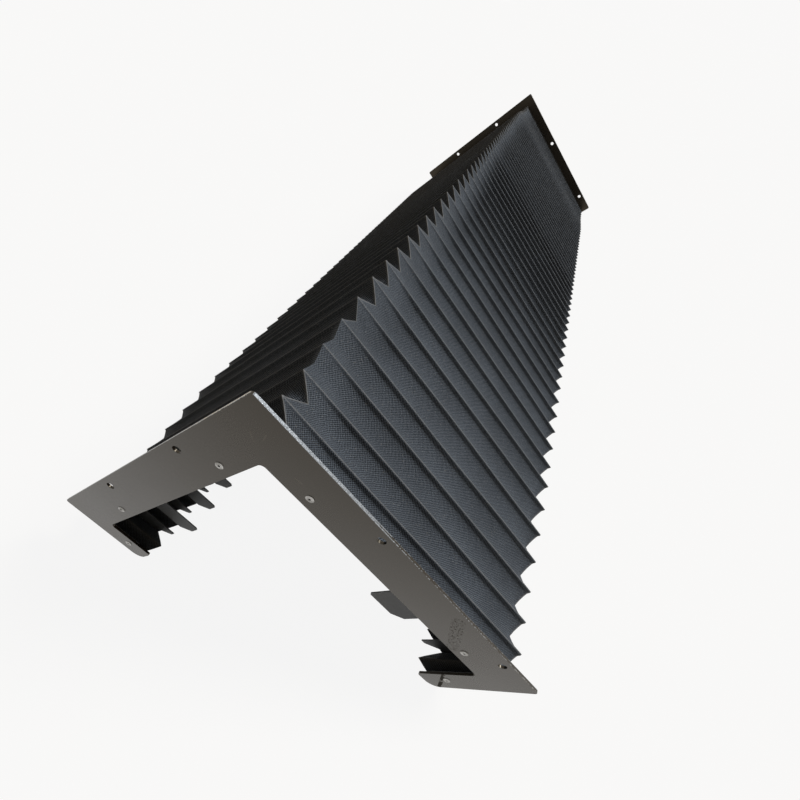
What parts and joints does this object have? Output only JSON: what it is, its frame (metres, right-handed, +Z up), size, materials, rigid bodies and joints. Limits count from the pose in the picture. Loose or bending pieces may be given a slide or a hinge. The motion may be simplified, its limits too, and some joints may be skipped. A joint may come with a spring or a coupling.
{
  "type": "bellows way cover",
  "caption": "Roof-shaped pleated fabric cover for a machine guideway, open below, held between flat angle-shaped end plates with bolt holes and stiffened by frames in its folds.",
  "frame": {"origin": "bottom centre of the drawn-out cover, on the level of the return ends that it stands on", "axes": "+Y along the cover from the near plate to the far plate, +Z up, the roof's ridge along +Y"},
  "size_m": [0.4214, 1.1518, 0.2718],
  "materials": {
    "plate": "satin",
    "fabric": "coated weave",
    "frame_plastic": "matte",
    "rivet": "satin"
  },
  "bodies": {
    "near_end": {"near_end_plate": "plate", "near_clamp_frame": "frame_plastic", "near_rivets": "rivet", "bellows": "fabric"},
    "far_end": {"far_end_plate": "plate", "far_clamp_frame": "frame_plastic", "far_rivets": "rivet"},
    "support_frame_1": {"support_frame_1": "frame_plastic"},
    "support_frame_2": {"support_frame_2": "frame_plastic"},
    "support_frame_3": {"support_frame_3": "frame_plastic"},
    "support_frame_4": {"support_frame_4": "frame_plastic"},
    "support_frame_5": {"support_frame_5": "frame_plastic"},
    "support_frame_6": {"support_frame_6": "frame_plastic"},
    "support_frame_7": {"support_frame_7": "frame_plastic"},
    "support_frame_8": {"support_frame_8": "frame_plastic"},
    "support_frame_9": {"support_frame_9": "frame_plastic"},
    "support_frame_10": {"support_frame_10": "frame_plastic"},
    "support_frame_11": {"support_frame_11": "frame_plastic"},
    "support_frame_12": {"support_frame_12": "frame_plastic"},
    "support_frame_13": {"support_frame_13": "frame_plastic"},
    "support_frame_14": {"support_frame_14": "frame_plastic"},
    "support_frame_15": {"support_frame_15": "frame_plastic"},
    "support_frame_16": {"support_frame_16": "frame_plastic"},
    "support_frame_17": {"support_frame_17": "frame_plastic"},
    "support_frame_18": {"support_frame_18": "frame_plastic"},
    "support_frame_19": {"support_frame_19": "frame_plastic"},
    "support_frame_20": {"support_frame_20": "frame_plastic"}
  },
  "joints": [
    {"name": "cover_slide", "type": "slide", "parent": "near_end", "child": "far_end", "axis": [0, 1, 0], "range_m": [-0.88, 0], "deforming": ["bellows"]},
    {"name": "support_frame_1_slide", "type": "slide", "parent": "near_end", "child": "support_frame_1", "axis": [0, 1, 0], "range_m": [-0.01952, 0]},
    {"name": "support_frame_2_slide", "type": "slide", "parent": "near_end", "child": "support_frame_2", "axis": [0, 1, 0], "range_m": [-0.03981, 0]},
    {"name": "support_frame_3_slide", "type": "slide", "parent": "near_end", "child": "support_frame_3", "axis": [0, 1, 0], "range_m": [-0.06103, 0]},
    {"name": "support_frame_4_slide", "type": "slide", "parent": "near_end", "child": "support_frame_4", "axis": [0, 1, 0], "range_m": [-0.12766, 0]},
    {"name": "support_frame_5_slide", "type": "slide", "parent": "near_end", "child": "support_frame_5", "axis": [0, 1, 0], "range_m": [-0.19461, 0]},
    {"name": "support_frame_6_slide", "type": "slide", "parent": "near_end", "child": "support_frame_6", "axis": [0, 1, 0], "range_m": [-0.26085, 0]},
    {"name": "support_frame_7_slide", "type": "slide", "parent": "near_end", "child": "support_frame_7", "axis": [0, 1, 0], "range_m": [-0.32418, 0]},
    {"name": "support_frame_8_slide", "type": "slide", "parent": "near_end", "child": "support_frame_8", "axis": [0, 1, 0], "range_m": [-0.38288, 0]},
    {"name": "support_frame_9_slide", "type": "slide", "parent": "near_end", "child": "support_frame_9", "axis": [0, 1, 0], "range_m": [-0.43594, 0]},
    {"name": "support_frame_10_slide", "type": "slide", "parent": "near_end", "child": "support_frame_10", "axis": [0, 1, 0], "range_m": [-0.48313, 0]},
    {"name": "support_frame_11_slide", "type": "slide", "parent": "near_end", "child": "support_frame_11", "axis": [0, 1, 0], "range_m": [-0.52493, 0]},
    {"name": "support_frame_12_slide", "type": "slide", "parent": "near_end", "child": "support_frame_12", "axis": [0, 1, 0], "range_m": [-0.56259, 0]},
    {"name": "support_frame_13_slide", "type": "slide", "parent": "near_end", "child": "support_frame_13", "axis": [0, 1, 0], "range_m": [-0.59809, 0]},
    {"name": "support_frame_14_slide", "type": "slide", "parent": "near_end", "child": "support_frame_14", "axis": [0, 1, 0], "range_m": [-0.63333, 0]},
    {"name": "support_frame_15_slide", "type": "slide", "parent": "near_end", "child": "support_frame_15", "axis": [0, 1, 0], "range_m": [-0.66857, 0]},
    {"name": "support_frame_16_slide", "type": "slide", "parent": "near_end", "child": "support_frame_16", "axis": [0, 1, 0], "range_m": [-0.70381, 0]},
    {"name": "support_frame_17_slide", "type": "slide", "parent": "near_end", "child": "support_frame_17", "axis": [0, 1, 0], "range_m": [-0.73905, 0]},
    {"name": "support_frame_18_slide", "type": "slide", "parent": "near_end", "child": "support_frame_18", "axis": [0, 1, 0], "range_m": [-0.77429, 0]},
    {"name": "support_frame_19_slide", "type": "slide", "parent": "near_end", "child": "support_frame_19", "axis": [0, 1, 0], "range_m": [-0.80952, 0]},
    {"name": "support_frame_20_slide", "type": "slide", "parent": "near_end", "child": "support_frame_20", "axis": [0, 1, 0], "range_m": [-0.84476, 0]}
  ],
  "couplings": [
    {"joint": "support_frame_1_slide", "follows": "cover_slide", "ratio": 0.02218},
    {"joint": "support_frame_2_slide", "follows": "cover_slide", "ratio": 0.04524},
    {"joint": "support_frame_3_slide", "follows": "cover_slide", "ratio": 0.069351},
    {"joint": "support_frame_4_slide", "follows": "cover_slide", "ratio": 0.14506},
    {"joint": "support_frame_5_slide", "follows": "cover_slide", "ratio": 0.22115},
    {"joint": "support_frame_6_slide", "follows": "cover_slide", "ratio": 0.29642},
    {"joint": "support_frame_7_slide", "follows": "cover_slide", "ratio": 0.36839},
    {"joint": "support_frame_8_slide", "follows": "cover_slide", "ratio": 0.43509},
    {"joint": "support_frame_9_slide", "follows": "cover_slide", "ratio": 0.49539},
    {"joint": "support_frame_10_slide", "follows": "cover_slide", "ratio": 0.54901},
    {"joint": "support_frame_11_slide", "follows": "cover_slide", "ratio": 0.59651},
    {"joint": "support_frame_12_slide", "follows": "cover_slide", "ratio": 0.63931},
    {"joint": "support_frame_13_slide", "follows": "cover_slide", "ratio": 0.67965},
    {"joint": "support_frame_14_slide", "follows": "cover_slide", "ratio": 0.71969},
    {"joint": "support_frame_15_slide", "follows": "cover_slide", "ratio": 0.75974},
    {"joint": "support_frame_16_slide", "follows": "cover_slide", "ratio": 0.79978},
    {"joint": "support_frame_17_slide", "follows": "cover_slide", "ratio": 0.83983},
    {"joint": "support_frame_18_slide", "follows": "cover_slide", "ratio": 0.87987},
    {"joint": "support_frame_19_slide", "follows": "cover_slide", "ratio": 0.91991},
    {"joint": "support_frame_20_slide", "follows": "cover_slide", "ratio": 0.95996}
  ]
}
